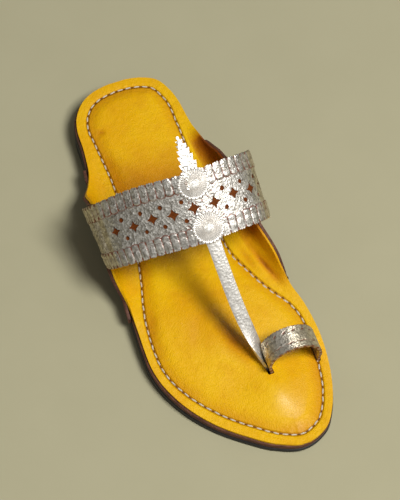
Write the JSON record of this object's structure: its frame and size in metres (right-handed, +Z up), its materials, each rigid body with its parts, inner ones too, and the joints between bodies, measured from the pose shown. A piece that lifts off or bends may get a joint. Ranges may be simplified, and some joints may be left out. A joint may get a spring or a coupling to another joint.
{
  "type": "toe_ring_sandal",
  "caption": "Right kolhapuri sandal with yellow padded leather footbed, perforated silver foil instep band, centre strap, toe ring, leaf tail and low rubber heel",
  "frame": {"origin": "middle of the bounding box in X and Y, on the floor the sole stands on", "axes": "+Y from heel to toe, +X towards the outer side (little toe), +Z up"},
  "size_m": [0.1056, 0.2578, 0.1024],
  "materials": {
    "sole_rubber": "matt black soling rubber, fine grain",
    "midsole_leather": "brown vegetable-tanned leather, raw cut edges",
    "footbed_leather": "yellow dyed leather, satin, orange-brown at the stitch line",
    "foil_leather": "silver foil laminated on brown leather, fine crinkle, worn to gold in places"
  },
  "bodies": {
    "root": {"outsole": "sole_rubber", "heel_lift": "sole_rubber", "midsole": "midsole_leather", "footbed_cover": "footbed_leather", "ear_medial": "midsole_leather", "ear_lateral": "midsole_leather", "upper": "foil_leather"}
  },
  "joints": []
}
